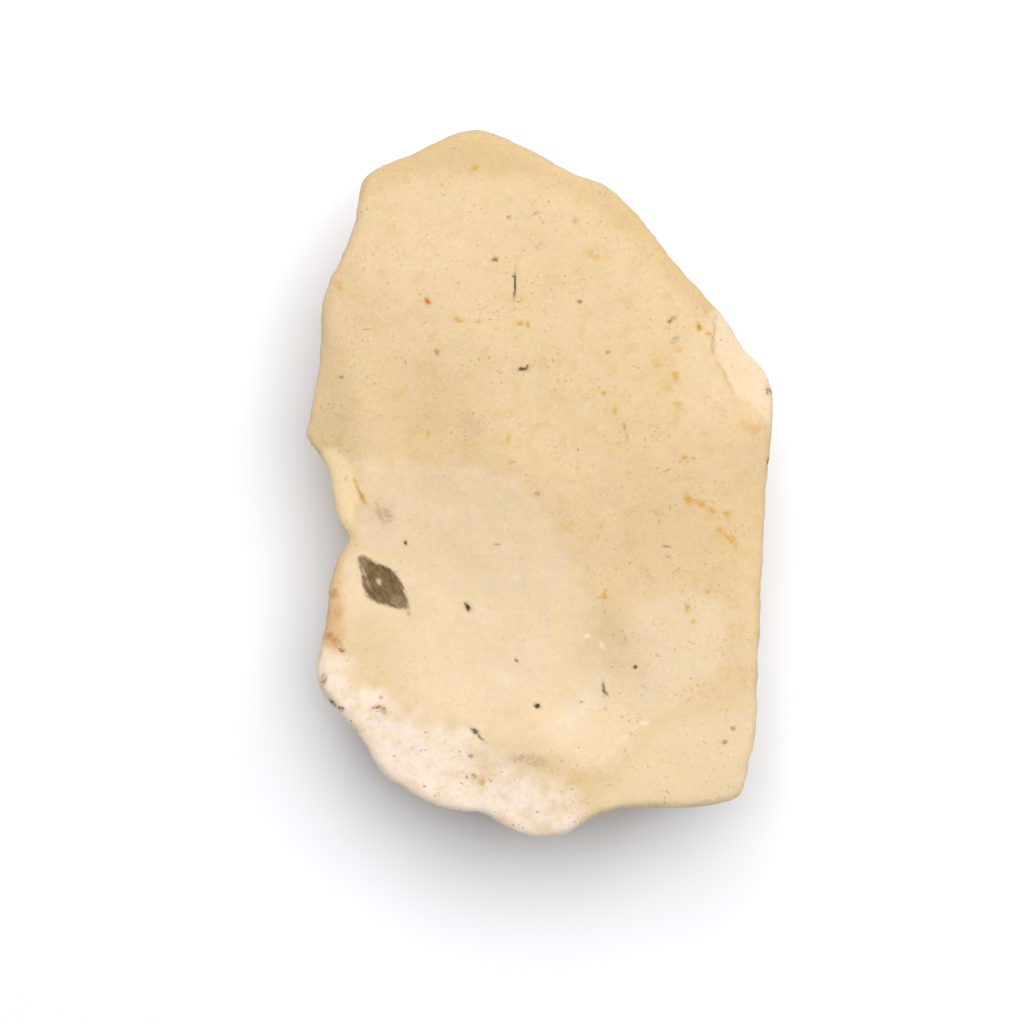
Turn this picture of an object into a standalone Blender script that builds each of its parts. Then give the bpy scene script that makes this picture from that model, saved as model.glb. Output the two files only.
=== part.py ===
"""Libyan desert glass: one wind-worn flake of natural glass, lying on a small flat spot.

The stone is shaped in millimetres and stored in metres, +Z up. +Y runs along its length and +X
across it. The origin lies under the middle of the stone, on the surface that it rests on.
"""

import math
import random

import bmesh
import bpy
import numpy as np
from mathutils import Matrix, Vector, noise

# Driving dimensions, in millimetres
WIDTH = 39.0
LENGTH = 59.1
THICKNESS = 15.0
MM = 0.001

# The widest line round the stone, seen from above, anticlockwise from its right side
OUTLINE = [
    (19.3, 3.6), (19.5, 7.2), (18.9, 9.4), (17.2, 11.1), (16.1, 12.7), (15.5, 13.8),
    (13.3, 16.1), (11.4, 18.1), (8.8, 21.5), (6.2, 24.3), (5.2, 25.0), (3.0, 25.7),
    (1.3, 26.6), (0.0, 27.5), (-2.0, 28.3), (-3.5, 29.1), (-4.8, 29.5), (-6.7, 29.3),
    (-8.8, 28.4), (-11.2, 27.2), (-13.7, 26.3), (-14.8, 25.5), (-15.2, 24.4), (-15.2, 22.5),
    (-15.9, 20.1), (-17.5, 16.9), (-18.2, 14.9), (-18.3, 12.0), (-18.7, 8.4), (-19.5, 4.8),
    (-19.7, 3.6), (-18.6, 2.6), (-17.8, 1.0), (-17.5, -0.6), (-17.3, -2.2), (-16.7, -3.7),
    (-15.9, -4.7), (-16.4, -5.3), (-17.3, -6.9), (-17.7, -8.9), (-17.9, -11.6), (-18.3, -13.2),
    (-18.8, -14.8), (-19.0, -16.1), (-18.5, -17.4), (-17.7, -18.4), (-15.4, -20.9),
    (-14.4, -22.6), (-13.3, -24.5), (-11.5, -25.7), (-9.8, -26.6), (-8.1, -27.3),
    (-6.3, -27.5), (-4.7, -27.5), (-3.4, -28.5), (-1.9, -29.2),
    (-0.6, -29.7), (0.7, -29.8), (2.1, -29.4), (3.5, -28.4), (5.0, -27.6), (6.5, -27.2),
    (9.0, -27.0), (11.6, -27.2), (14.8, -26.8), (16.6, -26.3), (17.2, -25.6), (17.2, -24.0),
    (17.6, -22.6), (18.0, -20.5), (18.1, -16.0), (18.4, -10.0), (18.8, -2.0),
]
OUTLINE_STEPS = 8

# Going round the stone, by angle in degrees: height of the widest line above the surface that
# the stone rests on, then how far in from that line the upper and the lower edge are worn
RIM = [
    (0, 12.9, 0.40, 5.8), (30, 12.5, 0.45, 6.0), (55, 12.8, 0.45, 6.8), (97, 12.7, 0.50, 7.2),
    (122, 12.9, 0.45, 6.4), (150, 12.3, 0.45, 6.2), (165, 11.7, 0.45, 5.6), (186, 12.1, 0.45, 5.2),
    (198, 12.0, 0.45, 5.4), (218, 11.5, 0.50, 5.2), (242, 11.0, 0.50, 5.2), (256, 11.2, 0.50, 5.2),
    (268, 11.9, 0.50, 5.4), (285, 12.5, 0.45, 6.0), (303, 12.5, 0.40, 5.6), (330, 12.8, 0.40, 5.8),
    (360, 12.9, 0.40, 5.8),
]
# How much the same three values wander, how often in a radian, and how far apart in the noise
RIM_WANDER = (0.9, 0.12, 1.6)
WANDER_RATE = 2.6
WANDER_SHIFT = 11.3
# How much each of them grows per millimetre that a corner stands out, over a span in degrees
CORNER_WEAR = (0.0, 0.15, 2.4)
CORNER_SPAN = 14.0
# Shape of the worn edges: 2 is an arc and 1 is a flat chamfer
UPPER_CURL, LOWER_CURL = 1.7, 1.45

# Broad faces as (x, y, height there, slope along x, slope along y, bend radius x, bend radius y).
# On the upper side a positive radius is a dish, and on the underside it is a bulge.
FLAT = math.inf
UPPER_FACES = {
    "plateau": (2.0, 6.0, 14.9, 0.0, 0.0, -300.0, -420.0),
    "crown": (-4.0, 25.0, 14.3, 0.02, -0.15, 300.0, 300.0),
    "long_bevel": (11.0, 16.5, 14.1, -0.15, -0.13, FLAT, FLAT),
    "left_bevel": (-16.0, 12.0, 13.9, 0.10, 0.02, FLAT, 300.0),
    "main_scar": (-9.0, -13.0, 12.6, 0.04, 0.01, 75.0, 64.0),
    "low_scar": (4.0, -17.8, 13.3, 0.0, 0.0, 18.0, 26.0),
    "side_scar": (11.0, -13.5, 14.05, 0.0, 0.0, 60.0, 70.0),
    "right_bevel": (17.6, -8.0, 13.9, -0.30, -0.02, FLAT, 90.0),
    "notch": (-15.6, -0.6, 13.7, 0.45, -0.05, FLAT, 60.0),
    "corner_chip": (15.3, 9.9, 14.0, -0.36, -0.27, 40.0, 40.0),
    "bright_bevel": (-9.0, -19.7, 12.9, 0.11, 0.18, 90.0, 90.0),
    "low_left_bevel": (-17.0, -10.0, 12.9, 0.34, 0.0, FLAT, 120.0),
}
LOWER_FACES = {
    "belly": (0.0, 1.0, -0.45, 0.0, 0.0, 88.0, 150.0),
    "upper_end": (-2.0, 20.0, 2.4, 0.02, 0.24, -150.0, -150.0),
    "right_flank": (12.5, 8.0, 1.9, 0.42, 0.08, -60.0, -90.0),
    "low_right_flank": (11.0, -13.0, 1.5, 0.36, -0.16, -50.0, -60.0),
    "left_flank": (-12.5, -4.0, 1.7, -0.38, 0.04, -70.0, 300.0),
    "lower_end": (-3.0, -20.0, 1.9, -0.03, -0.22, 200.0, -150.0),
}
WORN_RIDGE = 0.35

# Relief that wind and sand left, and the share of it that steep sides show
SWELL_SIZE, SWELL_HEIGHT = 8.5, 0.30
RIPPLE_SIZE, RIPPLE_HEIGHT = 3.0, 0.09
SIDE_SHARE = 0.3

# Shallow hollows in the underside: radii, depths as a share of the radius, distances from the
# middle as a share of the stone's half size, and heights
DIMPLE_COUNT = 44
DIMPLE_SEED = 11
DIMPLE_RADII = (1.4, 3.4)
DIMPLE_DEPTHS = (0.10, 0.16)
DIMPLE_REACHES = (0.45, 1.0)
DIMPLE_LEVELS = (0.5, 5.5)

BALL_SUBDIVISIONS = 7
WEAR_PASSES = 6
WEAR_FACTOR = 0.5
TARGET_TRIANGLES = 8000
# A triangle is thin if its longest edge is this many times its height
THIN = 10.0
SHARP_ANGLE = math.radians(35)

GLASS_COLOUR = (0.83, 0.64, 0.40, 1.0)
GLASS_ROUGHNESS = 0.42
GLASS_IOR = 1.46


def smooth_closed_curve(points, steps):
    """Points along the Catmull-Rom curve through a closed ring of points."""
    ring = np.array(points)
    before, after, beyond = np.roll(ring, 1, 0), np.roll(ring, -1, 0), np.roll(ring, -2, 0)
    curve = []
    for t in np.linspace(0, 1, steps, endpoint=False):
        curve.append(
            0.5 * (2 * ring + (after - before) * t
                   + (2 * before - 5 * ring + 4 * after - beyond) * t * t
                   + (3 * ring - before - 3 * after + beyond) * t ** 3)
        )
    return np.stack(curve, axis=1).reshape(-1, 2)


def outline_radius(curve, angle):
    """Distance from the middle of the stone to its outline, at each angle."""
    at = np.arctan2(curve[:, 1], curve[:, 0])
    order = np.argsort(at)
    return np.interp(angle, at[order], np.hypot(*curve[order].T), period=2 * math.pi)


def distance_in(curve, x, y):
    """How far each point lies in from the outline."""
    start, end = curve, np.roll(curve, -1, 0)
    run = end - start
    nearest = np.full(len(x), np.inf)
    for (ax, ay), (dx, dy) in zip(start, run):
        t = np.clip(((x - ax) * dx + (y - ay) * dy) / (dx * dx + dy * dy), 0, 1)
        nearest = np.minimum(nearest, np.hypot(x - ax - t * dx, y - ay - t * dy))
    return nearest


def blended_minimum(heights, width):
    """The lowest of several surfaces, with the ridge between two of them worn round."""
    lowest = heights[0]
    for other in heights[1:]:
        share = np.clip(0.5 + 0.5 * (other - lowest) / width, 0, 1)
        lowest = other + (lowest - other) * share - width * share * (1 - share)
    return lowest


def face_heights(faces, x, y):
    """The height of each broad face over the points."""
    return [
        height + slope_x * (x - x0) + slope_y * (y - y0)
        + (x - x0) ** 2 / (2 * bend_x) + (y - y0) ** 2 / (2 * bend_y)
        for x0, y0, height, slope_x, slope_y, bend_x, bend_y in faces.values()
    ]


def rounded(share, curl):
    """0 at the rim and 1 where the edge has turned into the face; a curl of 2 is an arc."""
    return (1 - (1 - np.clip(share, 0, 1)) ** curl) ** (1 / curl)


def corners(curve, angle):
    """How far the outline stands out beyond its own average over a wide span, at each angle."""
    turns = np.radians(np.arange(360))
    reach = outline_radius(curve, turns)
    weights = np.exp(-((np.arange(360) - 180) / CORNER_SPAN) ** 2)
    average = np.convolve(np.tile(reach, 3), weights / weights.sum(), "same")[360:720]
    return np.interp(angle, turns, np.maximum(reach - average, 0), period=2 * math.pi)


def rim_section(curve, angle):
    """Height of the widest line and widths of the edges above and below it, at each angle."""
    rim = np.array(RIM)
    degrees = np.degrees(angle) % 360
    section = np.stack([np.interp(degrees, rim[:, 0], column) for column in rim.T[1:]])
    ring = WANDER_RATE * np.stack([np.cos(angle), np.sin(angle)], axis=1)
    for row, amount in enumerate(RIM_WANDER):
        level = row * WANDER_SHIFT
        section[row] += [amount * noise.noise((x, y, level)) for x, y in ring]
    return section + corners(curve, angle) * np.array(CORNER_WEAR)[:, None]


def shape(ball):
    """The stone's surface for the points of a unit ball."""
    curve = smooth_closed_curve(OUTLINE, OUTLINE_STEPS)
    angle = np.arctan2(ball[:, 1], ball[:, 0])
    reach = outline_radius(curve, angle) * np.hypot(ball[:, 0], ball[:, 1])
    x, y = reach * np.cos(angle), reach * np.sin(angle)
    inward = distance_in(curve, x, y)
    girdle, over, under = rim_section(curve, angle)
    top = blended_minimum(face_heights(UPPER_FACES, x, y), WORN_RIDGE)
    bottom = -blended_minimum([-h for h in face_heights(LOWER_FACES, x, y)], WORN_RIDGE)
    upper = girdle + (top - girdle) * rounded(inward / over, UPPER_CURL)
    lower = girdle + (bottom - girdle) * rounded(inward / under, LOWER_CURL)
    return np.stack([x, y, np.where(ball[:, 2] >= 0, upper, lower)], axis=1)


def dimples():
    """Shallow hollows etched into the underside: (middle, radius, depth)."""
    draw = random.Random(DIMPLE_SEED)
    made = []
    for _ in range(DIMPLE_COUNT):
        turn, reach = draw.uniform(0, 2 * math.pi), draw.uniform(*DIMPLE_REACHES) / 2
        middle = Vector((WIDTH * reach * math.cos(turn), LENGTH * reach * math.sin(turn),
                         draw.uniform(*DIMPLE_LEVELS)))
        radius = draw.uniform(*DIMPLE_RADII)
        made.append((middle, radius, radius * draw.uniform(*DIMPLE_DEPTHS)))
    return made


def relief(point, normal, hollows):
    """How far the surface stands out from its broad form, along its normal."""
    height = SWELL_HEIGHT * noise.noise(point / SWELL_SIZE)
    height += RIPPLE_HEIGHT * noise.noise(point / RIPPLE_SIZE)
    if normal.z < 0:
        for middle, radius, depth in hollows:
            share = (point - middle).length / radius
            if share < 1:
                height -= depth * (1 - share * share) ** 2
    return height * (SIDE_SHARE + (1 - SIDE_SHARE) * abs(normal.z))


def fit_to_size(mesh):
    """Scales a mesh to the driving dimensions, keeping the surface that it rests on."""
    points = np.array([vertex.co for vertex in mesh.vertices])
    low, high = points.min(axis=0), points.max(axis=0)
    points[:, :2] -= (low[:2] + high[:2]) / 2
    points *= (WIDTH / (high[0] - low[0]), LENGTH / (high[1] - low[1]), THICKNESS / high[2])
    mesh.vertices.foreach_set("co", points.ravel())


def stone_mesh():
    """The whole stone, finely meshed, in millimetres."""
    bm = bmesh.new()
    bmesh.ops.create_icosphere(bm, subdivisions=BALL_SUBDIVISIONS, radius=1)
    ball = np.array([vertex.co for vertex in bm.verts])
    for vertex, place in zip(bm.verts, shape(ball)):
        vertex.co = place
    bm.normal_update()
    hollows = dimples()
    moves = [vertex.normal * relief(vertex.co, vertex.normal, hollows) for vertex in bm.verts]
    for vertex, move in zip(bm.verts, moves):
        vertex.co += move
    for _ in range(WEAR_PASSES):
        bmesh.ops.smooth_vert(bm, verts=bm.verts, factor=WEAR_FACTOR,
                              use_axis_x=True, use_axis_y=True, use_axis_z=True)
    mesh = bpy.data.meshes.new("fine_stone")
    bm.to_mesh(mesh)
    bm.free()
    return mesh


def thinned(mesh, triangles):
    """A copy of a mesh with fewer triangles, close together only where the surface bends."""
    source = bpy.data.objects.new("fine_stone", mesh)
    bpy.context.scene.collection.objects.link(source)
    decimate = source.modifiers.new("thin_out", "DECIMATE")
    decimate.ratio = triangles / len(mesh.polygons)
    graph = bpy.context.evaluated_depsgraph_get()
    result = bpy.data.meshes.new_from_object(source.evaluated_get(graph))
    bpy.data.objects.remove(source)
    return result


def thinness(face):
    """How many times its height a triangle's longest edge is."""
    longest = max(edge.calc_length() for edge in face.edges)
    return longest * longest / (2 * face.calc_area())


def turn_thin_triangles(mesh):
    """Turns the longest edge of each thin triangle, which would catch the light like a scratch."""
    bm = bmesh.new()
    bm.from_mesh(mesh)
    thin = [face for face in bm.faces if thinness(face) > THIN]
    edges = {max(face.edges, key=bmesh.types.BMEdge.calc_length).index for face in thin}
    long_edges = [edge for edge in bm.edges if edge.index in edges]
    around = {face.index for edge in long_edges for face in edge.link_faces}
    faces = [face for face in bm.faces if face.index in around]
    bmesh.ops.beautify_fill(bm, faces=faces, edges=long_edges, method="ANGLE")
    bm.to_mesh(mesh)
    bm.free()


def cut_flat_spot(mesh):
    """Slices off what lies below the surface that the stone rests on."""
    bm = bmesh.new()
    bm.from_mesh(mesh)
    cut = bmesh.ops.bisect_plane(
        bm, geom=bm.verts[:] + bm.edges[:] + bm.faces[:],
        plane_co=(0, 0, 0), plane_no=(0, 0, -1), clear_outer=True,
    )
    rim_edges = [item for item in cut["geom_cut"] if isinstance(item, bmesh.types.BMEdge)]
    bmesh.ops.holes_fill(bm, edges=rim_edges)
    bm.to_mesh(mesh)
    bm.free()


def glass_material():
    """Milky, pale sand-coloured natural glass with a satin surface."""
    material = bpy.data.materials.new("desert_glass")
    material.use_nodes = True
    surface = material.node_tree.nodes["Principled BSDF"]
    surface.inputs["Base Color"].default_value = GLASS_COLOUR
    surface.inputs["Roughness"].default_value = GLASS_ROUGHNESS
    surface.inputs["Metallic"].default_value = 0.0
    surface.inputs["IOR"].default_value = GLASS_IOR
    return material


def clear_scene():
    for item in list(bpy.data.objects):
        bpy.data.objects.remove(item)


def build():
    clear_scene()
    parts = bpy.data.collections.new("libyan_desert_glass")
    bpy.context.scene.collection.children.link(parts)
    mesh = thinned(stone_mesh(), TARGET_TRIANGLES)
    turn_thin_triangles(mesh)
    fit_to_size(mesh)
    cut_flat_spot(mesh)
    mesh.transform(Matrix.Scale(MM, 4))
    mesh.shade_smooth()
    mesh.set_sharp_from_angle(angle=SHARP_ANGLE)
    mesh.materials.append(glass_material())
    parts.objects.link(bpy.data.objects.new("desert_glass", mesh))


build()
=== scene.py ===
"""Looks of the Libyan desert glass: a fine mesh over its solid, its colours, light and camera.

Lengths are in metres unless a name says otherwise. Places named by a pixel are pixels of the
1024 x 1024 photograph, and each is put on the stone along the camera's own line of sight.
"""

import math

import bmesh
import bpy
import numpy as np
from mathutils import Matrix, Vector, noise


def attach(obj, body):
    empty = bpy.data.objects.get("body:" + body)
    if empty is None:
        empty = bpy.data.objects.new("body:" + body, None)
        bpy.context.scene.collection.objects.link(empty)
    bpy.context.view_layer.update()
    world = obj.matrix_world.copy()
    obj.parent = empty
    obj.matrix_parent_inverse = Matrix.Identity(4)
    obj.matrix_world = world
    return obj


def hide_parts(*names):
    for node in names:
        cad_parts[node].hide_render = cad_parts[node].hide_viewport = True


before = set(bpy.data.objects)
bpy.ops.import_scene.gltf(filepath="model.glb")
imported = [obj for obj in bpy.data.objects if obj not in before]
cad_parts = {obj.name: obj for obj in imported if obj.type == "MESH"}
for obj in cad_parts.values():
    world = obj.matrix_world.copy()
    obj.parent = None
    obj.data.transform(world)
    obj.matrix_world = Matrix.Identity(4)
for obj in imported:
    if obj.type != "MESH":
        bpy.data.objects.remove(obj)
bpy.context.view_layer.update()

MM = 0.001
PIXELS = 1024
TINY = 1e-9

# The camera looks straight down. The photograph shows 12 pixels a millimetre at the height of
# the stone's widest line, and the stone's middle is at MIDDLE_PIXEL.
PIXELS_PER_MM = 12.0
MIDDLE_PIXEL = (539.0, 485.0)
RIM_LEVEL_MM = 12.2
LENS_MM, SENSOR_MM = 100.0, 36.0
VIEW_MM = PIXELS / PIXELS_PER_MM
CAMERA_MM = (
    (PIXELS / 2 - MIDDLE_PIXEL[0]) / PIXELS_PER_MM,
    (MIDDLE_PIXEL[1] - PIXELS / 2) / PIXELS_PER_MM,
    RIM_LEVEL_MM + VIEW_MM * LENS_MM / SENSOR_MM,
)
CLIP_START = 0.01

# One large soft light, a weak even fill, and a floor that is slightly cool against the warm stone
KEY_PLACE, KEY_SIZE, KEY_WATTS = (0.22, 0.63, 1.68), 1.95, 52.3
FILL_STRENGTH, BACKDROP_STRENGTH = 0.05, 1.0
FLOOR_HALF_SIZE = 1.5
FLOOR_COLOUR = (0.885, 0.90, 0.93, 1)
FLOOR_ROUGHNESS = 0.9

# Mesh: an even net, then smoothing in pairs of steps, inwards and back outwards
VOXEL_MM = 0.34
SMOOTH_PASSES = 14
SMOOTH_PULLS = (0.60, -0.62)
LONGEST_MOVE_MM = 0.04

# Fine relief: how wide each form is, and how high. Steep sides alone have scallops and nicks.
WAVE_MM, WAVE_HEIGHT_MM = 1.7, 0.030
GRAIN_MM, GRAIN_HEIGHT_MM = 0.7, 0.012
SCALLOP_MM, SCALLOP_DEPTH_MM = 2.2, 0.16
NICK_MM, NICK_HEIGHT_MM = 0.9, 0.07

# Borders of zones and marks wander, and small ones are ragged, by a noise of this size
WANDER_MM, RAGGED_MM = 1.1, 0.28

# Where in the noise each form is taken from, so that no two of them are alike
GRAIN_SHIFT, NICK_SHIFT, SCALLOP_SHIFT = 7, 13, 19
WANDER_SHIFTS, RAGGED_SHIFTS = (3, 11), (5, 17)

# Each pair fades something in from its first value to its second. In most of them the value is
# how much the surface looks up: 1 where it is level, 0 where it is upright, less underneath.
STEEP = (0.85, 0.35)
LOOKS_UP = (0.05, 0.3)
LOOKS_ASIDE = (0.2, -0.3)
# The edge pairs pick the edges that get painted light
EDGE_TOP, EDGE_FOOT = (0.96, 0.6), (-0.2, 0.3)
# The same for how much the surface looks towards the light, which comes from this direction
LIGHT_ALONG = (0.35, 0.94)
LOOKS_AWAY = (0.3, -0.2)
# The same for the height in millimetres, so that some zones run down over the worn edge
HIGH_MM = (4.0, 7.0)

# Zones on the stone's upper side, as closed lines of photograph pixels
MAIN_SCAR = [
    (352, 458), (378, 461), (400, 462), (430, 463), (455, 465), (480, 470), (500, 476), (525, 490),
    (540, 506), (560, 532), (577, 562), (590, 592), (600, 620), (612, 655), (600, 690),
    (585, 722), (562, 752), (520, 772), (470, 745), (400, 705), (345, 668), (340, 620),
    (348, 560), (358, 520), (360, 480),
]
LOBES = [
    (602, 640), (640, 606), (680, 596), (727, 604), (722, 640), (712, 664), (690, 692),
    (660, 714), (641, 724), (631, 745), (615, 764), (590, 771), (560, 757), (548, 722),
    (572, 690),
]
# The lower-left rim zone is a painted highlight: that bevel is painted near white, as if lit from
# the lower left
PAINTED_HIGHLIGHT_RIM = [
    (305, 655), (335, 655), (360, 680), (400, 703), (432, 722), (470, 738), (505, 764),
    (540, 776), (572, 790), (582, 812), (575, 860), (480, 860), (380, 820), (300, 720),
]
NOTCH_FACE = [
    (326, 445), (346, 456), (358, 478), (357, 502), (350, 534), (340, 560), (315, 520), (312, 470),
]
CHIP = [
    (712, 314), (714, 345), (722, 366), (735, 392), (750, 400), (768, 424), (800, 400),
    (790, 360), (740, 300),
]
LEFT_EDGE = [
    (351, 540), (344, 556), (341, 580), (343, 610), (344, 636), (334, 652), (300, 655), (300, 560),
]
TOP_BAND = [
    (355, 195), (400, 182), (470, 172), (520, 172), (570, 195), (640, 245), (700, 310), (760, 330),
    (760, 80), (340, 80),
]
# The lower right face and its bottom edge: a creamier colour, partly real and partly painted light
# that lifts the shade where they turn from the light
LOW_FACE = [
    (628, 760), (650, 735), (690, 716), (735, 700), (800, 690), (800, 860), (600, 860), (600, 800),
]
# Of each zone: its line, how far its border wanders and how soft it is, in pixels, and whether
# it runs down over the worn edge
ZONES = {
    "scar": (MAIN_SCAR, 9, 12, False),
    "lobes": (LOBES, 9, 14, False),
    # The rim zone carries the painted highlight of the lower-left bevel
    "rim": (PAINTED_HIGHLIGHT_RIM, 16, 13, True),
    "notch": (NOTCH_FACE, 5, 4, True),
    "chip": (CHIP, 5, 4, True),
    "left_edge": (LEFT_EDGE, 5, 6, True),
    "top_band": (TOP_BAND, 9, 14, True),
    "low_face": (LOW_FACE, 9, 16, True),
}

# The dark inclusion, how ragged and how soft its border is, and spots that cover it, as a pixel
# and a radius in pixels, where the mesh is made finer
INCLUSION = [
    (359, 556), (366, 556), (372, 561), (380, 564), (390, 568), (397, 575), (402, 584), (405, 593),
    (408, 601), (409, 608), (403, 609), (394, 608), (385, 605), (375, 602), (367, 596),
    (363, 587), (362, 577), (360, 568), (358, 562),
]
INCLUSION_RAGGED_PX, INCLUSION_SOFT_PX = 0.8, 4.5
INCLUSION_SPOTS = [(370, 568, 14), (384, 584, 22), (402, 603, 14)]
# Each round of refining takes in this many pixels round a mark
REFINE_MARGINS_PX = (6.0, 2.5)

# Broad lighter and darker patches: pixel, radius in pixels, how much lighter. Their borders
# wander by as many pixels as the scar's.
PATCH_WANDER_PX = 9
PATCHES = [
    (425, 245, 70, 0.40), (560, 200, 60, 0.20), (435, 418, 55, -0.70), (700, 365, 42, 0.60),
    (352, 360, 60, 0.10), (640, 500, 70, -0.50), (700, 540, 60, -0.20), (500, 370, 40, 0.20),
    (540, 745, 30, -0.25), (520, 665, 45, 0.40), (490, 690, 28, 0.70), (600, 650, 34, -0.60),
    (385, 640, 40, -0.40), (590, 730, 26, 0.70), (680, 650, 40, 0.40), (470, 210, 26, 0.40),
    (742, 372, 22, 0.50), (400, 702, 20, -0.55), (426, 722, 13, -0.35), (506, 712, 17, -0.50),
    (486, 768, 17, -0.60), (470, 752, 12, -0.40), (362, 668, 13, -0.30), (445, 690, 18, 0.30),
    (380, 682, 14, -0.75), (413, 709, 12, -0.30), (360, 640, 22, -0.40), (562, 700, 26, -0.40),
    (335, 680, 16, -0.30), (567, 795, 18, -0.45),
]

# Fine lines as runs of pixels: half width, kind, strength and points
LINES = [
    (2.4, "light", 0.20, [(462, 469), (488, 476), (510, 484), (527, 496), (540, 510)]),
    (3.0, "light", 0.10, [(396, 463), (430, 465), (462, 469)]),
    (1.6, "olive_line", 0.50, [(715, 317), (714, 330), (712, 342), (713, 352)]),
    (1.7, "olive_line", 0.32, [(716, 362), (722, 370), (728, 382), (733, 393)]),
    (1.5, "brown", 0.28, [(357, 489), (361, 497), (364, 503)]),
    (0.9, "brown", 0.40, [(534, 250), (539, 246), (544, 242)]),
    (1.4, "light", 0.30, [(598, 764), (613, 752), (622, 740), (636, 728), (643, 722)]),
    (1.6, "light", 0.12, [(643, 722), (660, 712), (684, 697), (706, 680), (716, 662), (721, 636)]),
]
LINE_RAGGED_PX, LINE_WANDER_PX = 1.4, 2
# A line fades in from the first of these to the second, in half widths
LINE_FADE = (1.5, 0.3)

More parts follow.
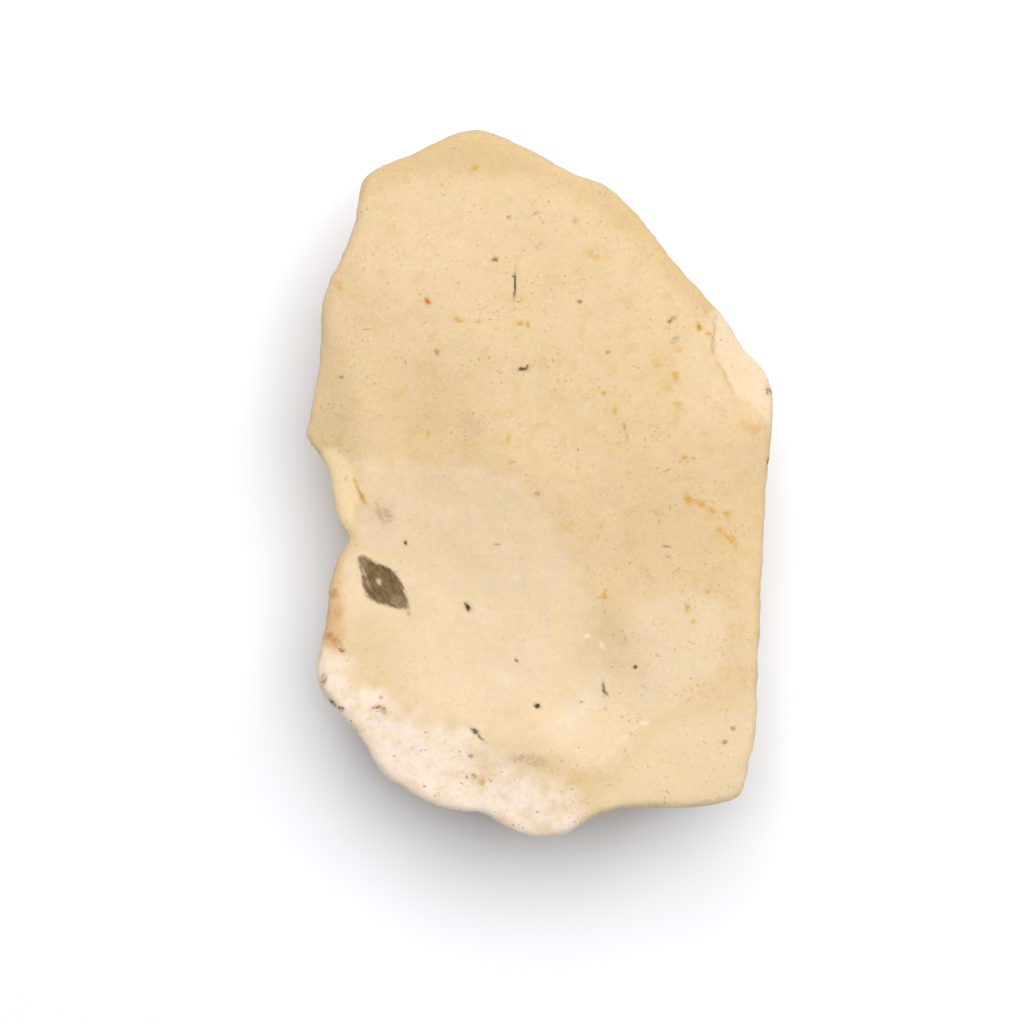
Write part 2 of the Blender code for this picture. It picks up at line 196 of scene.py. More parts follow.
# Single marks of each kind: pixel, half length and half width in pixels, turn in degrees, strength
MARKS = {
    "grey": [
        (408.5, 613, 2.2, 5.5, -12, 0.45), (384, 515, 9, 7, 20, 0.50),
        (379, 508, 5, 3, 70, 0.40), (476, 426, 14, 8, 30, 0.22), (716, 370, 8, 5, 60, 0.10),
        (675, 340, 6, 3, -30, 0.50), (412, 748, 3, 1.6, 0, 0.45), (400, 742, 2, 1.6, 0, 0.40),
    ],
    "ochre": [
        (699, 327, 3.2, 2.4, 60, 0.55), (709, 334, 2.6, 2.2, 0, 0.60),
        (338, 286, 6, 4.5, 70, 0.30), (459, 320, 4.6, 2.4, 20, 0.70),
        (478, 321.5, 3.2, 2.2, 0, 0.90), (521, 323.5, 3.6, 2.4, 0, 0.50),
        (527.5, 324, 1.9, 3, 0, 0.80), (593, 256, 8, 4, 30, 0.30), (603, 393, 3, 2.2, 30, 0.60),
        (615, 410, 2.2, 4, 0, 0.40), (508.5, 437.5, 2, 5, 15, 0.40), (428, 434, 3, 2.2, 0, 0.35),
        (657, 364, 7, 4.5, 60, 0.30), (678, 349, 4.5, 3.5, 0, 0.35),
        (675, 376, 6, 4.5, 80, 0.40), (677, 404, 4, 3, 0, 0.35), (668, 388, 5, 4, 40, 0.30),
        (684.5, 457.8, 3.4, 2.2, 0, 0.75), (693, 458.2, 2.6, 1.5, 0, 0.40),
        (687.5, 498, 3.4, 5.4, -20, 0.62), (695, 502, 4.6, 3, 20, 0.32),
        (702.5, 504.5, 4, 3, 20, 0.50), (711, 510, 5.2, 3.2, 30, 0.42),
        (727, 514, 4.2, 2.2, 0, 0.50), (719.5, 529, 4, 3.2, 30, 0.42),
        (731, 539, 6, 4, 50, 0.42), (724, 533, 5, 3, 40, 0.32), (736, 546, 3, 4, 0, 0.35),
        (604.5, 595.5, 2.4, 3.2, -20, 0.85), (687.5, 608, 2.4, 5, 0, 0.65),
        (694, 622, 3, 2.2, 0, 0.40), (707.5, 592, 2, 1.6, 0, 0.50), (750, 427, 10, 6, 20, 0.20),
        (756, 429, 4, 3, 30, 0.25), (362, 497, 7, 2, 60, 0.60), (356, 484, 5, 2, 70, 0.40),
        (482, 782, 3.2, 2.6, 0, 0.65), (475, 167, 3.4, 3, 0, 0.55), (664, 370, 24, 14, 80, 0.11),
        (600, 262, 20, 12, 40, 0.05), (735, 372, 10, 5, 50, 0.05), (722, 528, 22, 12, 45, 0.08),
    ],
    "orange": [
        (427.7, 301.5, 3.6, 2.8, 30, 1),
    ],
    "rust": [
        (512, 462, 4, 2.2, 0, 0.25), (335, 641, 7, 4, 50, 0.45), (342, 650, 4, 2.4, 20, 0.95),
        (330, 636, 3, 4, 0, 0.45), (334, 594, 5, 5, 0, 0.35), (338, 612, 4, 8, 0, 0.22),
        (378, 707.5, 5.5, 1.8, -8, 0.75), (383, 711, 4.5, 3, 60, 0.45),
        (517, 758, 8, 4, 0, 0.20),
    ],
    "brown": [
        (495, 259.5, 3.6, 1.8, -10, 0.75), (672, 320, 5.5, 1.8, -42, 0.75),
        (699, 328, 2.2, 1.8, 60, 0.50), (624.5, 427, 1.7, 3, -20, 0.60),
        (627, 437, 1.7, 3, -20, 0.50), (537, 493.5, 2.8, 2.2, 0, 0.40),
        (770, 390, 4, 4, 90, 0.70), (381, 697, 2.2, 2, 0, 0.45), (324, 679, 3, 6, 10, 0.55),
        (333, 703, 5, 2.2, 45, 0.80), (341, 709, 3, 2, 40, 0.85), (474, 776, 3.4, 2, 30, 0.45),
        (533, 760, 14, 6, 10, 0.22), (724.5, 742, 2.4, 1.8, 0, 0.80),
        (733, 728.5, 2.4, 1.6, 0, 0.60), (537, 213, 3.4, 1.4, 0, 0.35),
        (508.5, 217, 2, 1.6, 0, 0.45), (437, 352, 2.2, 2.8, 0, 0.60),
        (341.5, 377, 2, 1.6, 0, 0.70), (575.5, 220.7, 2, 2.4, 0, 0.50),
        (608, 352, 2.2, 2, 0, 0.60), (580, 301.5, 2, 1.6, 0, 0.70), (631, 733, 2, 1.6, 0, 0.40),
    ],
    "light": [
        (587, 636, 3.2, 1.8, 0, 0.80), (602, 645, 2.4, 4, -10, 0.70), (645, 723, 3, 2, 0, 0.70),
        (378.5, 582, 3.6, 1.8, 65, 0.55), (364, 572, 6, 1.3, 70, 0.34),
        (368, 583, 5, 1, 66, 0.26), (363, 561, 6, 5, 40, 0.10), (401, 603, 10, 5, 40, 0.11),
        (395, 604, 5, 1.2, 24, 0.18), (516, 578, 3.6, 2.6, 30, 0.45),
        (505, 678, 12, 7, 20, 0.35),
    ],
    "dark": [
        (515, 284.5, 12, 1.1, 92, 0.95), (514, 276, 2, 1.2, 30, 0.80),
        (523, 369, 4.6, 1.7, -8, 0.90), (527, 367, 2.6, 1.1, -50, 0.80),
        (406, 543, 2.4, 1.8, 80, 0.95), (468, 607, 3.8, 2.6, 70, 1),
        (465, 604, 2.4, 1.3, 30, 0.80), (537.5, 706, 2.9, 2.1, 40, 1),
        (635, 667, 1.9, 1.5, 0, 0.90), (516.6, 660.5, 2.2, 1.4, 60, 0.75),
        (581, 702.5, 2, 1.4, 0, 0.45), (769, 461, 3, 2, 90, 0.95),
        (604, 689, 5.2, 1.5, 80, 0.80), (607, 694, 3, 1.2, 60, 0.70),
        (475, 731, 3.6, 2, 40, 0.85), (480, 737, 4.6, 1.3, 48, 0.70),
        (471, 756, 2.6, 1.8, 0, 0.50), (497, 544, 3.2, 1, 5, 0.45), (667, 547, 3.4, 1, 8, 0.55),
        (668, 557, 2.2, 1, 40, 0.40),
    ],
}
# Borders of marks with a half width or half length under SMALL_PX wobble less
SMALL_PX, SMALL_WOBBLE_PX, LARGE_WOBBLE_PX = 4, 1.4, 3.2
# A mark is a core and a faint halo: the share of each, and where it fades in, in half widths
CORE_SHARE, CORE_FADE = 0.8, (1.35, 0.55)
HALO_SHARE, HALO_FADE = 0.2, (2.6, 0.8)

# Colours of the kinds of marks as linear values, from the lowest layer to the highest
KIND_COLOURS = {
    "grey": (0.330, 0.235, 0.130),
    "ochre": (0.635, 0.345, 0.045),
    "orange": (0.600, 0.165, 0.022),
    "rust": (0.400, 0.165, 0.060),
    "olive_line": (0.400, 0.290, 0.110),
    "brown": (0.270, 0.130, 0.035),
    "light": (0.930, 0.780, 0.600),
    "dark": (0.045, 0.022, 0.007),
}
# How many times stronger than their tables say single marks of some kinds are
MARK_GAIN = {"ochre": 1.9, "rust": 1.4, "brown": 1.3, "light": 0.9}
# Stains of these kinds are broken up into finer spots
BROKEN_KINDS = ("grey", "ochre", "rust", "brown")

# Other colours, as linear values
TAN = (0.745, 0.552, 0.318)
PINK_TAN = (0.775, 0.560, 0.346)
GREEN_TAN = (0.722, 0.556, 0.312)
SCAR = (0.822, 0.630, 0.418)
GREEN_SCAR = (0.788, 0.618, 0.392)
LOBE = (0.810, 0.660, 0.465)
# The painted highlight of the lower-left rim, near white as if that bevel caught the light
RIM_PAINTED_HIGHLIGHT = (0.945, 0.785, 0.650)
NOTCH_YELLOW = (0.890, 0.685, 0.415)
CHIP_CREAM = (0.800, 0.628, 0.430)
PALE_FLECK = (0.930, 0.800, 0.600)
EDGE_ORANGE = (0.740, 0.465, 0.235)
CLOUD_TAN = (0.680, 0.462, 0.200)
BAND_TAN = (0.620, 0.420, 0.192)
# Creamier colour of the lower right face, partly painted light against its shade
LOW_CREAM_AND_LIGHT = (0.790, 0.615, 0.388)
PATINA = (0.640, 0.420, 0.210)
SPECK_BROWN = (0.290, 0.165, 0.060)
LENS_OLIVE = (0.222, 0.136, 0.049)
LENS_DARK = (0.130, 0.075, 0.024)

# How strongly each colour covers the one under it
COVER = {
    "green": 0.65, "cloud": 0.58, "top_band": 0.55, "low_face": 1.0, "scar": 1.0, "lobes": 0.50,
    "chip": 0.95, "notch": 1.0, "left_edge": 0.75, "rim": 1.0, "hollow": 0.55, "bare": 0.45,
    "lighter": 0.50, "darker": 0.45, "pit": 0.85, "crumb": 0.75, "dust": 0.46, "pale": 0.26,
}

# Noise patterns: waves in a millimetre, detail, roughness, the two noise values between which
# the pattern rises, and what it rises from and to
PATTERNS = {
    "broad": (0.16, 3.0, 0.50, 0.36, 0.64, 0.0, 1.0),
    "blotch": (0.42, 4.0, 0.60, 0.36, 0.64, 0.0, 1.0),
    "cloud": (0.75, 5.0, 0.68, 0.48, 0.68, 0.0, 1.0),
    "rim_break": (0.55, 4.0, 0.65, 0.28, 0.58, 0.42, 1.0),
    "hollow": (0.33, 4.0, 0.62, 0.44, 0.66, 0.0, 1.0),
    "bare": (0.24, 3.0, 0.60, 0.56, 0.68, 0.0, 1.0),
    "tint": (1.5, 5.0, 0.75, 0.25, 0.75, 0.86, 1.12),
    "crowd": (0.5, 3.0, 0.60, 0.42, 0.64, 0.15, 1.0),
    "crumb_crowd": (0.6, 3.0, 0.60, 0.49, 0.62, 0.0, 1.0),
    "pale_crowd": (0.9, 3.0, 0.60, 0.40, 0.60, 0.0, 1.0),
    "streak": (4.5, 2.0, 0.60, 0.36, 0.64, 0.0, 1.0),
    "stain_break": (3.0, 3.0, 0.65, 0.38, 0.58, 0.45, 1.0),
}
# Noise with more than one use, or used as it is: waves in a millimetre, detail and roughness
FINE, GRAIN, FLECK, FRAY = (2.6, 3.0, 0.6), (9.0, 2.0, 0.6), (3.4, 1.0, 0.6), (6.0, 2.0, 0.6)
# Ramps over these: the two noise values, and what is given there where that isn't 0 and 1
FINE_BRIGHTNESS = (0.2, 0.8, 0.955, 1.035)
FINE_ROUGHNESS = (0.25, 0.75, 0.48, 0.60)
DUST_RISE, PALE_RISE = (0.62, 0.74), (0.38, 0.26)

# Specks: cells in a millimetre, share of the cells that have one, and radius in millimetres
PIT_SPECKS = (1.7, 0.16, 0.16)
SIDE_SPECKS = (0.8, 0.45, 0.32)
CRUMB_SPECKS = (2.3, 0.85, 0.14)
# How gradually specks come and go from cell to cell, and their full core as a share of the radius
SPECK_FADE, SPECK_CORE = 0.25, 0.35
# The specks' cells are bent by a noise, in waves in a millimetre and by this many millimetres
BEND_WAVES, BEND_MM = 3.5, 0.5
SIDE_PIT_SHARE = 0.7
# Scars and the rim are this much less pitted than the skin, and their roughness is lower
SMOOTH_ZONE_SHARE, SMOOTH_ZONE_DROP = 0.60, 0.08

# Edges that look away from the light are painted this much brighter: painted light that lifts
# their shade
EDGE_PAINTED_LIGHT_GAIN = 1.12
# Streaks in the inclusion: turn in degrees, stretch, how far a noise round its mean frays the
# border, how the frayed border rises, and where in the soft border it ends
STREAK_TURN, STREAK_STRETCH, FRAY_DEPTH = -58, 3, 0.9
FRAY_RISE, FRAY_END = (0.12, 0.88), (0.0, 0.2)
MEAN_NOISE = 0.5

# Bump: how much of it is grain and how much fine noise, its strength and its height
GRAIN_BUMP, FINE_BUMP = 0.30, 0.40
BUMP_STRENGTH, BUMP_MM = 0.35, 0.06

# Shader values of the glass
GLASS = {
    "IOR": 1.46,
    "Specular IOR Level": 0.22,
    "Subsurface Weight": 0.15,
    "Subsurface Radius": (1.0, 0.72, 0.45),
    "Subsurface Scale": 1.4 * MM,
}


def smooth_step(low, high, value):
    t = np.clip((value - low) / (high - low), 0, 1)
    return t * t * (3 - 2 * t)


def picture_pixel(points_mm):
    """The photograph pixel that shows each point of the stone."""
    eye = np.array(CAMERA_MM)
    reach = (eye[2] - RIM_LEVEL_MM) / (eye[2] - points_mm[:, 2])
    plan = eye[:2] + (points_mm[:, :2] - eye[:2]) * reach[:, None]
    return np.stack([MIDDLE_PIXEL[0] + plan[:, 0] * PIXELS_PER_MM,
                     MIDDLE_PIXEL[1] - plan[:, 1] * PIXELS_PER_MM], axis=1)


def mesh_arrays(mesh):
    """Places in millimetres and normals of a mesh's vertices."""
    places = np.empty(len(mesh.vertices) * 3)
    normals = np.empty(len(mesh.vertices) * 3)
    mesh.vertices.foreach_get("co", places)
    mesh.vertices.foreach_get("normal", normals)
    return places.reshape(-1, 3) / MM, normals.reshape(-1, 3)


def set_places(mesh, places_mm):
    mesh.vertices.foreach_set("co", (places_mm * MM).ravel())
    mesh.update()


def noise_at(places_mm, size_mm, offset=0.0):
    shift = Vector((offset, 2 * offset, -offset))
    return np.array([noise.noise(Vector(p) / size_mm + shift) for p in places_mm])


def noise_pair(places_mm, size_mm, offsets):
    """Two noises side by side, to move pixels both ways."""
    return np.stack([noise_at(places_mm, size_mm, offset) for offset in offsets], axis=1)


def remeshed(node):
    """A new object with an even mesh over the node's shape."""
    stone = bpy.data.objects.new("fine_glass", node.data.copy())
    bpy.context.scene.collection.objects.link(stone)
    remesh = stone.modifiers.new("even", "REMESH")
    remesh.mode = "VOXEL"
    remesh.voxel_size = VOXEL_MM * MM
    remesh.use_smooth_shade = True
    graph = bpy.context.evaluated_depsgraph_get()
    mesh = bpy.data.meshes.new_from_object(stone.evaluated_get(graph))
    stone.modifiers.clear()
    stone.data = mesh
    return stone


def worn_smooth(mesh):
    """Takes the flat facets off the surface, and moves nothing far, so that edges stay crisp."""
    before, _ = mesh_arrays(mesh)
    places = before.copy()
    edges = np.empty(len(mesh.edges) * 2, dtype=int)
    mesh.edges.foreach_get("vertices", edges)
    a, b = edges.reshape(-1, 2).T
    count = np.bincount(np.concatenate([a, b]), minlength=len(places))[:, None]
    for step in range(2 * SMOOTH_PASSES):
        total = np.zeros_like(places)
        np.add.at(total, a, places[b])
        np.add.at(total, b, places[a])
        places += SMOOTH_PULLS[step % 2] * (total / count - places)
    move = places - before
    length = np.linalg.norm(move, axis=1)[:, None]
    set_places(mesh, before + move * np.minimum(1, LONGEST_MOVE_MM / np.maximum(length, TINY)))


def fine_relief(mesh):
    """Small waves and grain, and scallops and nicks on steep sides, over a level flat spot."""
    places, normals = mesh_arrays(mesh)
    waves = WAVE_HEIGHT_MM * noise_at(places, WAVE_MM)
    height = waves + GRAIN_HEIGHT_MM * noise_at(places, GRAIN_MM, GRAIN_SHIFT)
    rough = NICK_HEIGHT_MM * noise_at(places, NICK_MM, NICK_SHIFT)
    rough -= SCALLOP_DEPTH_MM * np.abs(noise_at(places, SCALLOP_MM, SCALLOP_SHIFT))
    height += rough * smooth_step(*STEEP, np.abs(normals[:, 2]))
    places += normals * height[:, None]
    places[:, 2] = np.maximum(places[:, 2], 0)
    set_places(mesh, places)


def refine(mesh, spots):
    """Splits the triangles near the marks, so that small ones get crisp edges."""
    bm = bmesh.new()
    bm.from_mesh(mesh)
    bmesh.ops.triangulate(bm, faces=bm.faces[:])
    for margin in REFINE_MARGINS_PX:
        middles = np.array([f.calc_center_median() for f in bm.faces]) / MM
        pixels = picture_pixel(middles)
        near = np.zeros(len(pixels), dtype=bool)
        for px, py, radius in spots:
            near |= (pixels[:, 0] - px) ** 2 + (pixels[:, 1] - py) ** 2 < (radius + margin) ** 2
        # A dictionary keeps the edges in the same order at every run
        chosen = {}
        for face, hit in zip(bm.faces, near):
            if hit and face.normal.z > 0:
                chosen.update(dict.fromkeys(face.edges))
        bmesh.ops.subdivide_edges(bm, edges=list(chosen), cuts=1, use_grid_fill=True)
        bmesh.ops.triangulate(bm, faces=bm.faces[:])
    bm.to_mesh(mesh)
    bm.free()


def zone(line, pixels, softness):
    """1 well inside a closed line of pixels and 0 well outside it."""
    x, y = pixels.T
    nearest = np.full(len(x), np.inf)
    within = np.zeros(len(x), dtype=bool)
    for (ax, ay), (bx, by) in zip(line, line[1:] + line[:1]):
        run = (bx - ax) ** 2 + (by - ay) ** 2
        t = np.clip(((x - ax) * (bx - ax) + (y - ay) * (by - ay)) / run, 0, 1)
        nearest = np.minimum(nearest, np.hypot(x - ax - t * (bx - ax), y - ay - t * (by - ay)))
        crosses = ((ay > y) != (by > y))
        at = ax + (y - ay) * (bx - ax) / np.where(by == ay, TINY, by - ay)
        within ^= crosses & (x < at)
    return smooth_step(-softness, softness, np.where(within, nearest, -nearest))


def distance_to(run, pixels):
    """How far each pixel is from an open run of straight lines."""
    nearest = np.full(len(pixels), np.inf)
    for a, b in zip(np.array(run[:-1], float), np.array(run[1:], float)):
        t = np.clip((pixels - a) @ (b - a) / ((b - a) @ (b - a)), 0, 1)
        nearest = np.minimum(nearest, np.hypot(*(pixels - a - t[:, None] * (b - a)).T))
    return nearest


def store(mesh, name, values):
    attribute = mesh.attributes.new(name, "FLOAT", "POINT")
    attribute.data.foreach_set("value", values.astype(np.float32))


def patches_at(pixels):
    """How much lighter the broad patches make each pixel."""
    shade = np.zeros(len(pixels))
    for px, py, radius, amount in PATCHES:
        away = np.hypot(pixels[:, 0] - px, pixels[:, 1] - py)
        shade += amount * np.exp(-(away / radius) ** 2)
    return shade


def lines_at(kind, pixels):
    """How strong the fine lines of one kind are at each pixel."""
    strongest = np.zeros(len(pixels))
    for width, line_kind, strength, run in LINES:
        if line_kind == kind:
            far, near = (half_widths * width for half_widths in LINE_FADE)
            shape = smooth_step(far, near, distance_to(run, pixels))
            strongest = np.maximum(strongest, strength * shape)
    return strongest


def marks_at(kind, pixels, ragged):
    """How strong the single marks of one kind are at each pixel."""
    strongest = np.zeros(len(pixels))
    for px, py, long, wide, turn, strength in MARKS.get(kind, ()):
        wobble = SMALL_WOBBLE_PX if min(long, wide) < SMALL_PX else LARGE_WOBBLE_PX
        dx, dy = (pixels + wobble * ragged - (px, py)).T
        c, s = math.cos(math.radians(turn)), math.sin(math.radians(turn))
        away = np.hypot((dx * c + dy * s) / long, (dy * c - dx * s) / wide)
        shape = CORE_SHARE * smooth_step(*CORE_FADE, away)
        shape += HALO_SHARE * smooth_step(*HALO_FADE, away)
        strongest = np.maximum(strongest, min(1, MARK_GAIN.get(kind, 1.0) * strength) * shape)
    return strongest


def paint(mesh):
    """Stores where each zone and mark lies, and which edges get painted light, as named values on
    the mesh.
    """
    places, normals = mesh_arrays(mesh)
    pixels = picture_pixel(places)
    wander = noise_pair(places, WANDER_MM, WANDER_SHIFTS)
    ragged = noise_pair(places, RAGGED_MM, RAGGED_SHIFTS)
    up = smooth_step(*LOOKS_UP, normals[:, 2])
    above = smooth_step(*HIGH_MM, places[:, 2])

    # Painted light: edges that look away from the light are marked, so that their colour can be
    # painted brighter against their shade
    edge = smooth_step(*EDGE_TOP, normals[:, 2]) * smooth_step(*EDGE_FOOT, normals[:, 2])
    towards_light = LIGHT_ALONG[0] * normals[:, 0] + LIGHT_ALONG[1] * normals[:, 1]
    edge *= smooth_step(*LOOKS_AWAY, towards_light)
    store(mesh, "edge", edge * above)
    store(mesh, "side", smooth_step(*LOOKS_ASIDE, normals[:, 2]))

    for name, (line, wander_px, soft_px, over_edge) in ZONES.items():
        share = zone(line, pixels + wander_px * wander, soft_px)
        store(mesh, name, share * (above if over_edge else up))
    store(mesh, "shade", patches_at(pixels + PATCH_WANDER_PX * wander) * up)
    inclusion = zone(INCLUSION, pixels + INCLUSION_RAGGED_PX * ragged, INCLUSION_SOFT_PX)
    store(mesh, "inclusion", inclusion * up)

    line_pixels = pixels + LINE_RAGGED_PX * ragged + LINE_WANDER_PX * wander
    for kind in KIND_COLOURS:
        marks = np.maximum(lines_at(kind, line_pixels), marks_at(kind, pixels, ragged))
        store(mesh, kind, marks * up)


class Nodes:
    """Short calls for building one material's node tree."""

    def __init__(self, name):
        self.material = bpy.data.materials.new(name)
        self.material.use_nodes = True
        self.tree = self.material.node_tree
        self.tree.nodes.clear()
        self.output = self.add("ShaderNodeOutputMaterial")
        self.shader = self.add("ShaderNodeBsdfPrincipled")
        self.link(self.shader.outputs[0], self.output.inputs["Surface"])

    def add(self, kind, **settings):
        node = self.tree.nodes.new(kind)
        for key, value in settings.items():
            setattr(node, key, value)
        return node

    def link(self, source, target):
        self.tree.links.new(source, target)

    def put(self, target, value):
        if isinstance(value, bpy.types.NodeSocket):
            self.link(value, target)
        else:
            target.default_value = value

    def attribute(self, name):
        return self.add("ShaderNodeAttribute", attribute_name=name).outputs["Fac"]

    def maths(self, operation, a, b):
        node = self.add("ShaderNodeMath", operation=operation)
        self.put(node.inputs[0], a)
        self.put(node.inputs[1], b)
        return node.outputs[0]

    def times(self, a, b):
        return self.maths("MULTIPLY", a, b)

    def ramp(self, value, low, high, to_low=0.0, to_high=1.0):
        node = self.add("ShaderNodeMapRange", interpolation_type="SMOOTHSTEP")
        self.put(node.inputs["Value"], value)
        node.inputs["From Min"].default_value = low
        node.inputs["From Max"].default_value = high
        node.inputs["To Min"].default_value = to_low
        node.inputs["To Max"].default_value = to_high
        return node.outputs["Result"]

    def mix(self, share, a, b, blend="MIX"):
        node = self.add("ShaderNodeMix", data_type="RGBA", blend_type=blend)
        self.put(node.inputs["Factor"], share)
        for target, value in ((node.inputs[6], a), (node.inputs[7], b)):
            self.put(target, (*value, 1.0) if isinstance(value, tuple) else value)
        return node.outputs[2]

    def cover(self, under, share, name, over):
        """Lays a colour over another, as strongly as COVER says for this name."""
        return self.mix(self.times(share, COVER[name]), under, over)

    def noise(self, where, waves, detail, roughness):
        node = self.add("ShaderNodeTexNoise")
        self.link(where, node.inputs["Vector"])
        node.inputs["Scale"].default_value = waves
        node.inputs["Detail"].default_value = detail
        node.inputs["Roughness"].default_value = roughness
        return node.outputs["Fac"]

    def pattern(self, where, name):
        """A noise pattern from the table of them."""
        waves, detail, roughness, *rise = PATTERNS[name]
        return self.ramp(self.noise(where, waves, detail, roughness), *rise)

    def specks(self, where, scale, share, radius):
        """Small spots: a share of the cells has one, with a soft edge."""
        cells = self.add("ShaderNodeTexVoronoi", feature="F1", distance="EUCLIDEAN")
        self.link(where, cells.inputs["Vector"])
        cells.inputs["Scale"].default_value = scale
        parts = self.add("ShaderNodeSeparateColor")
        self.link(cells.outputs["Color"], parts.inputs[0])
        has_one = self.ramp(parts.outputs[0], 1 - share, 1 - share + SPECK_FADE)
        spot = self.ramp(cells.outputs["Distance"], radius * scale, SPECK_CORE * radius * scale)
        return self.times(has_one, spot)


def millimetres(n):
    """The place on the stone in millimetres, which all patterns go by."""
    coordinates = n.add("ShaderNodeTexCoord")
    in_mm = n.add("ShaderNodeVectorMath", operation="SCALE")
    n.link(coordinates.outputs["Object"], in_mm.inputs[0])
    in_mm.inputs["Scale"].default_value = 1 / MM
    return in_mm.outputs[0]


def skin_and_zones(n, where):
    """Clouded skin in three tones, the colours of the zones over it, and the painted highlight on
    the lower-left rim.
    """
    blotch = n.pattern(where, "blotch")
    colour = n.mix(n.pattern(where, "broad"), TAN, PINK_TAN)
    colour = n.cover(colour, blotch, "green", GREEN_TAN)
    colour = n.cover(colour, n.pattern(where, "cloud"), "cloud", CLOUD_TAN)
    zone_colours = {
        "top_band": BAND_TAN,
        "low_face": LOW_CREAM_AND_LIGHT,
        "scar": n.mix(blotch, SCAR, GREEN_SCAR),
        "lobes": LOBE,
        "chip": CHIP_CREAM,
        "notch": NOTCH_YELLOW,
        "left_edge": EDGE_ORANGE,
    }
    for name, zone_colour in zone_colours.items():
        colour = n.cover(colour, n.attribute(name), name, zone_colour)
    # The painted highlight: the lower-left rim painted near white as if lit, broken up by noise
    rim = n.times(n.attribute("rim"), n.pattern(where, "rim_break"))
    return n.cover(colour, rim, "rim", RIM_PAINTED_HIGHLIGHT)


def side_colours(n, where, colour):
    """Darker patina in patches of the sides and the underside, and paler bare glass."""
    side = n.attribute("side")
    colour = n.cover(colour, n.times(side, n.pattern(where, "hollow")), "hollow", PATINA)
    return n.cover(colour, n.times(side, n.pattern(where, "bare")), "bare", LOBE)


def patched(n, colour):
    """The broad lighter and darker patches."""
    shade = n.attribute("shade")
    colour = n.cover(colour, n.maths("MAXIMUM", shade, 0.0), "lighter", CHIP_CREAM)
    darker = n.maths("MAXIMUM", n.times(shade, -1.0), 0.0)
    return n.cover(colour, darker, "darker", BAND_TAN)


def toned(n, where, colour, fine):
    """Small changes of brightness and of warmth through blue alone, and painted light that
    brightens edges looking away from the light.
    """
    painted_edge_light = n.ramp(n.attribute("edge"), 0.0, 1.0, 1.0, EDGE_PAINTED_LIGHT_GAIN)
    mottle = n.times(n.ramp(fine, *FINE_BRIGHTNESS), painted_edge_light)
    tone = n.add("ShaderNodeCombineColor")
    n.link(mottle, tone.inputs[0])
    n.link(mottle, tone.inputs[1])
    n.link(n.times(mottle, n.pattern(where, "tint")), tone.inputs[2])
    return n.mix(1.0, colour, tone.outputs[0], "MULTIPLY")


def bent_cells(n, where):
    """Places moved about a little, so that specks don't line up."""
    uneven = n.add("ShaderNodeTexNoise")
    n.link(where, uneven.inputs["Vector"])
    uneven.inputs["Scale"].default_value = BEND_WAVES
    bent = n.add("ShaderNodeVectorMath", operation="MULTIPLY_ADD")
    n.link(uneven.outputs["Color"], bent.inputs[0])
    bent.inputs[1].default_value = (BEND_MM, BEND_MM, BEND_MM)
    n.link(where, bent.inputs[2])
    return bent.outputs[0]


def specked(n, where, colour, rough_zone):
    """Pits, crumbs on the rim, brown dust and pale flecks."""
    cells = bent_cells(n, where)
    crowd = n.pattern(where, "crowd")
    pits = n.times(n.specks(cells, *PIT_SPECKS), rough_zone)
    side_pits = n.times(n.specks(cells, *SIDE_SPECKS), n.attribute("side"))
    pits = n.maths("MAXIMUM", pits, n.times(side_pits, SIDE_PIT_SHARE))
    colour = n.cover(colour, n.times(pits, crowd), "pit", SPECK_BROWN)

    crumbs = n.times(n.pattern(where, "crumb_crowd"), n.specks(cells, *CRUMB_SPECKS))
    colour = n.cover(colour, n.times(crumbs, n.attribute("rim")), "crumb", SPECK_BROWN)

    flecks = n.noise(where, *FLECK)
    dust = n.times(n.times(n.ramp(flecks, *DUST_RISE), rough_zone), crowd)
    colour = n.cover(colour, dust, "dust", SPECK_BROWN)
    pale = n.times(n.ramp(flecks, *PALE_RISE), n.pattern(where, "pale_crowd"))
    return n.cover(colour, pale, "pale", PALE_FLECK)


def with_inclusion(n, where, colour):
    """The dark inclusion, streaked along its length and frayed at its border."""
    along = n.add("ShaderNodeMapping", vector_type="TEXTURE")
    n.link(where, along.inputs["Vector"])
    along.inputs["Rotation"].default_value = (0, 0, math.radians(STREAK_TURN))
    along.inputs["Scale"].default_value = (STREAK_STRETCH, 1, 1)
    inclusion = n.attribute("inclusion")
    fray = n.maths("SUBTRACT", n.noise(along.outputs[0], *FRAY), MEAN_NOISE)
    frayed = n.ramp(n.maths("ADD", inclusion, n.times(fray, FRAY_DEPTH)), *FRAY_RISE)
    frayed = n.times(frayed, n.ramp(inclusion, *FRAY_END))
    streaks = n.pattern(along.outputs[0], "streak")
    return n.mix(frayed, colour, n.mix(streaks, LENS_DARK, LENS_OLIVE))


def marked(n, where, colour):
    """The lines and single marks, kind by kind."""
    broken = n.pattern(where, "stain_break")
    for kind, kind_colour in KIND_COLOURS.items():
        share = n.attribute(kind)
        if kind in BROKEN_KINDS:
            share = n.times(share, broken)
        colour = n.mix(share, colour, kind_colour)
    return colour


def bumped(n, where, fine, rough_zone):
    """The finest relief, which scars and the rim have less of."""
    grain = n.noise(where, *GRAIN)
    height = n.times(n.times(grain, rough_zone), GRAIN_BUMP)
    height = n.maths("ADD", height, n.times(fine, FINE_BUMP))
    bump = n.add("ShaderNodeBump")
    bump.inputs["Strength"].default_value = BUMP_STRENGTH
    bump.inputs["Distance"].default_value = BUMP_MM * MM
    n.link(height, bump.inputs["Height"])
    return bump.outputs[0]


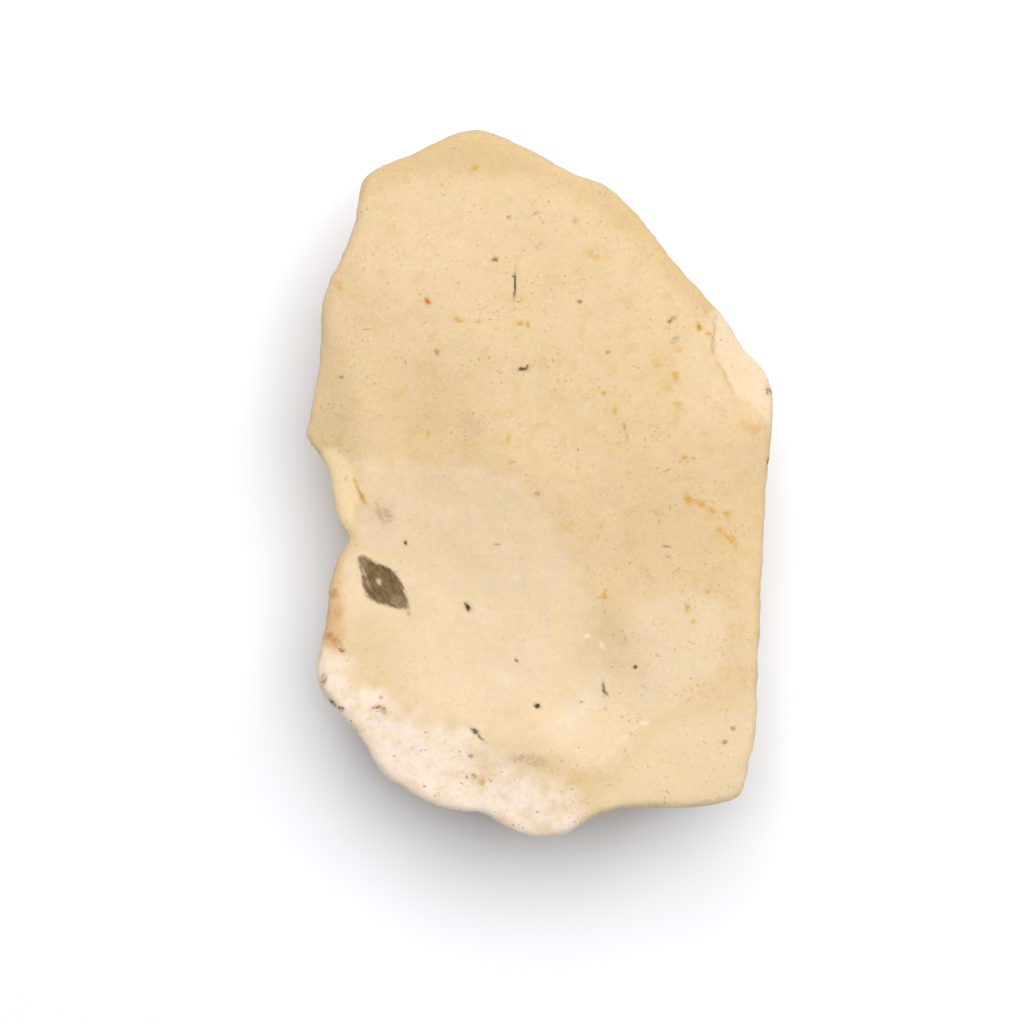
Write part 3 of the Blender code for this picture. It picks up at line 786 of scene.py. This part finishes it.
def glass_material():
    """Milky natural glass: warm, finely pitted skin, and paler and smoother scars."""
    n = Nodes("desert_glass")
    where = millimetres(n)
    fine = n.noise(where, *FINE)
    smooth_zone = n.maths("MAXIMUM", n.attribute("scar"), n.attribute("rim"))
    rough_zone = n.maths("SUBTRACT", 1.0, n.times(smooth_zone, SMOOTH_ZONE_SHARE))

    colour = skin_and_zones(n, where)
    colour = side_colours(n, where, colour)
    colour = patched(n, colour)
    colour = toned(n, where, colour, fine)
    colour = specked(n, where, colour, rough_zone)
    colour = with_inclusion(n, where, colour)
    colour = marked(n, where, colour)
    drop = n.times(smooth_zone, SMOOTH_ZONE_DROP)
    roughness = n.maths("SUBTRACT", n.ramp(fine, *FINE_ROUGHNESS), drop)

    surface = n.shader.inputs
    n.link(colour, surface["Base Color"])
    n.link(roughness, surface["Roughness"])
    n.link(bumped(n, where, fine, rough_zone), surface["Normal"])
    for name, value in GLASS.items():
        surface[name].default_value = value
    return n.material


def build_stone():
    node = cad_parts["desert_glass"]
    stone = remeshed(node)
    worn_smooth(stone.data)
    fine_relief(stone.data)
    spots = [(m[0], m[1], max(m[2], m[3])) for marks in MARKS.values() for m in marks]
    refine(stone.data, spots + INCLUSION_SPOTS)
    paint(stone.data)
    stone.data.shade_smooth()
    stone.data.materials.clear()
    stone.data.materials.append(glass_material())
    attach(stone, "root")
    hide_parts("desert_glass")


def build_floor():
    mesh = bpy.data.meshes.new("floor")
    bm = bmesh.new()
    bmesh.ops.create_grid(bm, x_segments=1, y_segments=1, size=FLOOR_HALF_SIZE)
    bm.to_mesh(mesh)
    bm.free()
    floor = bpy.data.objects.new("floor", mesh)
    bpy.context.scene.collection.objects.link(floor)
    material = bpy.data.materials.new("white_floor")
    material.use_nodes = True
    surface = material.node_tree.nodes["Principled BSDF"].inputs
    surface["Base Color"].default_value = FLOOR_COLOUR
    surface["Roughness"].default_value = FLOOR_ROUGHNESS
    surface["Specular IOR Level"].default_value = 0.0
    mesh.materials.append(material)


def area_light(name, place, size, watts):
    """A soft square light that faces the stone."""
    data = bpy.data.lights.new(name, "AREA")
    data.size = size
    data.energy = watts
    light = bpy.data.objects.new(name, data)
    light.location = place
    light.rotation_euler = (-Vector(place)).to_track_quat("-Z", "Y").to_euler()
    bpy.context.scene.collection.objects.link(light)


def build_lights():
    """The key light, and a world that looks white to the camera but lights the stone weakly."""
    area_light("key", KEY_PLACE, KEY_SIZE, KEY_WATTS)
    world = bpy.data.worlds.new("studio")
    world.use_nodes = True
    tree = world.node_tree
    background = tree.nodes["Background"]
    background.inputs["Color"].default_value = (1, 1, 1, 1)
    path = tree.nodes.new("ShaderNodeLightPath")
    level = tree.nodes.new("ShaderNodeMapRange")
    level.inputs["To Min"].default_value = FILL_STRENGTH
    level.inputs["To Max"].default_value = BACKDROP_STRENGTH
    tree.links.new(path.outputs["Is Camera Ray"], level.inputs["Value"])
    tree.links.new(level.outputs[0], background.inputs["Strength"])
    bpy.context.scene.world = world


def build_camera():
    data = bpy.data.cameras.new("camera")
    data.lens = LENS_MM
    data.sensor_width = SENSOR_MM
    data.clip_start = CLIP_START
    camera = bpy.data.objects.new("camera", data)
    camera.location = Vector(CAMERA_MM) * MM
    bpy.context.scene.collection.objects.link(camera)
    bpy.context.scene.camera = camera


build_camera()
build_lights()
build_floor()
build_stone()
bpy.context.scene.view_settings.view_transform = "Standard"
bpy.context.view_layer.update()
